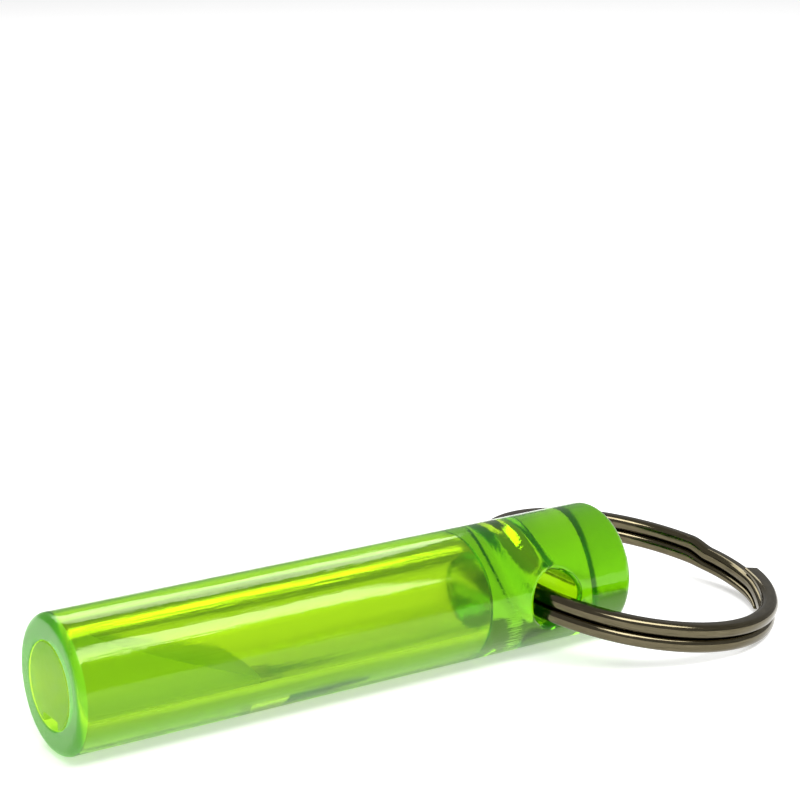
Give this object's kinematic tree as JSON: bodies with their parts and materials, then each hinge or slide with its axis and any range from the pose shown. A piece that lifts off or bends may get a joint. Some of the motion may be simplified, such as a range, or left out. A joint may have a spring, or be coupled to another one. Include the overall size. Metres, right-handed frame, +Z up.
{
  "type": "training whistle",
  "caption": "Slim clear plastic tube whistle with a plugged mouth end, a sound window under it and a split ring hanging in a cross hole at the tail.",
  "frame": {"origin": "centre of the tube's flat tail face, the end with the split ring", "axes": "+X along the tube's axis and out of the tail, Y along the ring's cross hole, +Z up with the whistle lying on a table"},
  "size_m": [0.0645, 0.0254, 0.0104],
  "materials": {
    "clear_plastic": "clear fluorescent lime, polished",
    "block_plastic": "clear lime, polished",
    "ring_steel": "nickel plated spring steel, lightly worn"
  },
  "bodies": {
    "whistle": {"whistle_body": "clear_plastic", "mouthpiece_block": "block_plastic"},
    "ring": {"split_ring": "ring_steel"}
  },
  "joints": [
    {"name": "ring_swing", "type": "hinge", "parent": "whistle", "child": "ring", "pos_m": [-0.0076, 0, 0], "axis": [0, -1, 0], "range_deg": [-150, 165]}
  ]
}
